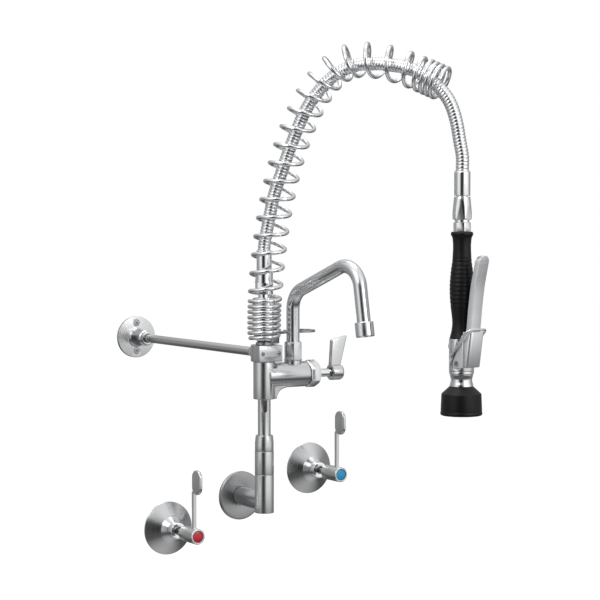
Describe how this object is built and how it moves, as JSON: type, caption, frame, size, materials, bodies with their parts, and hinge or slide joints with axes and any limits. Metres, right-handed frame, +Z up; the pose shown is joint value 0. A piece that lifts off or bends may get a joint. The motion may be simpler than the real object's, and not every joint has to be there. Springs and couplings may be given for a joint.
{
  "type": "pre rinse faucet",
  "caption": "Wall-mounted commercial pre rinse faucet with a spring-held hose and spray gun, a swivel spout, a wall bracket and hot and cold wall taps.",
  "frame": {"origin": "centre of the back of the inlet plate, on the wall plane, where the water enters", "axes": "+Z up, +Y into the wall, +X to the right as someone in the room faces the wall"},
  "size_m": [0.3322, 0.6662, 0.6917],
  "materials": {
    "satin_steel": "satin brushed stainless steel",
    "chrome": "polished chrome plate",
    "brass": "machined brass",
    "ceramic": "glazed valve cartridge",
    "black_rubber": "matt moulded rubber",
    "grey_plastic": "moulded plastic",
    "red_index": "gloss enamel",
    "blue_index": "gloss enamel"
  },
  "bodies": {
    "base": {"inlet_plate": "satin_steel", "inlet_elbow": "satin_steel", "riser_sleeve": "satin_steel", "check_valve": "brass", "taper_nut": "satin_steel", "riser_tube": "satin_steel", "faucet_body": "satin_steel", "bracket_clamp_rear": "satin_steel", "bracket_clamp_front": "satin_steel", "clamp_screw_left": "satin_steel", "clamp_screw_right": "satin_steel", "bracket_rod": "satin_steel", "bracket_flange": "satin_steel", "flange_screw_upper": "satin_steel", "flange_screw_lower": "satin_steel", "gun_hook": "satin_steel", "bonnet_nut": "chrome", "valve_cartridge": "ceramic", "spout_nut": "chrome", "spout_bush": "grey_plastic", "hot_escutcheon": "satin_steel", "hot_tap_body": "brass", "hot_tap_collar": "chrome", "cold_escutcheon": "satin_steel", "cold_tap_body": "brass", "cold_tap_collar": "chrome"},
    "boom": {"spring_plug": "chrome", "hose_lower_nut": "chrome", "hose_lower_ferrule": "chrome", "hose_arch": "chrome", "arch_spring": "chrome"},
    "gun_hose": {"hose_drop": "chrome", "gun_ferrule": "chrome"},
    "gun": {"swivel_nut": "chrome", "swivel_washer": "black_rubber", "gun_inlet_nut": "chrome", "gun_core": "brass", "gun_grip": "black_rubber", "gun_body": "chrome", "gun_collar": "chrome", "spray_bumper": "black_rubber", "spray_face": "grey_plastic", "pivot_screw": "chrome", "valve_cap": "chrome", "valve_spring": "chrome"},
    "lever": {"gun_lever": "chrome"},
    "stem": {"valve_stem": "chrome"},
    "hold": {"hold_ring": "chrome"},
    "spout": {"spout_tube": "chrome", "aerator_housing": "chrome", "aerator_insert": "grey_plastic"},
    "handle": {"valve_spindle": "chrome", "lever_handle": "satin_steel", "handle_screw": "satin_steel"},
    "hot_tap": {"hot_tap_spindle": "satin_steel", "hot_tap_lever": "satin_steel", "hot_index_button": "red_index"},
    "cold_tap": {"cold_tap_spindle": "satin_steel", "cold_tap_lever": "satin_steel", "cold_index_button": "blue_index"}
  },
  "joints": [
    {"name": "boom_swivel", "type": "hinge", "parent": "base", "child": "boom", "pos_m": [0, -0.067, 0.23], "axis": [0, 0, 1], "range_deg": [-60, 60]},
    {"name": "gun_swing", "type": "hinge", "parent": "boom", "child": "gun_hose", "pos_m": [0.15156, -0.30281, 0.50091], "axis": [0.8412, 0.5407, 0], "range_deg": [-12, 12], "stiffness_Nm_per_rad": 1, "deforming": ["hose_drop"]},
    {"name": "gun_turn", "type": "hinge", "parent": "gun_hose", "child": "gun", "pos_m": [0.1548, -0.30784, 0.39], "axis": [0, 0, 1], "continuous": true},
    {"name": "lever_press", "type": "hinge", "parent": "gun", "child": "lever", "pos_m": [0.15575, -0.31275, 0.2001], "axis": [-0.9818, -0.19, 0], "range_deg": [0, 4.5], "stiffness_Nm_per_rad": 3, "springref_deg": -6.88},
    {"name": "stem_slide", "type": "slide", "parent": "gun", "child": "stem", "axis": [-0.19, 0.9818, 0], "range_m": [0, 0.0018], "deforming": ["valve_spring"]},
    {"name": "hold_hinge", "type": "hinge", "parent": "gun", "child": "hold", "pos_m": [0.15423, -0.3049, 0.209], "axis": [-0.9818, -0.19, 0], "range_deg": [0, 5]},
    {"name": "spout_swivel", "type": "hinge", "parent": "base", "child": "spout", "pos_m": [0.0462, -0.067, 0.21], "axis": [0, 0, 1], "range_deg": [-42, 60]},
    {"name": "handle_turn", "type": "hinge", "parent": "base", "child": "handle", "pos_m": [0.1, -0.067, 0.1725], "axis": [1, 0, 0], "range_deg": [0, 90]},
    {"name": "hot_turn", "type": "hinge", "parent": "base", "child": "hot_tap", "pos_m": [-0.1139, -0.04, -0.036], "axis": [0, -1, 0], "range_deg": [0, 90]},
    {"name": "cold_turn", "type": "hinge", "parent": "base", "child": "cold_tap", "pos_m": [0.1134, -0.04, 0.0303], "axis": [0, 1, 0], "range_deg": [0, 90]}
  ],
  "couplings": [
    {"joint": "stem_slide", "follows": "lever_press", "m_per_rad": 0.0215},
    {"joint": "hold_hinge", "follows": "lever_press", "ratio": 1}
  ]
}
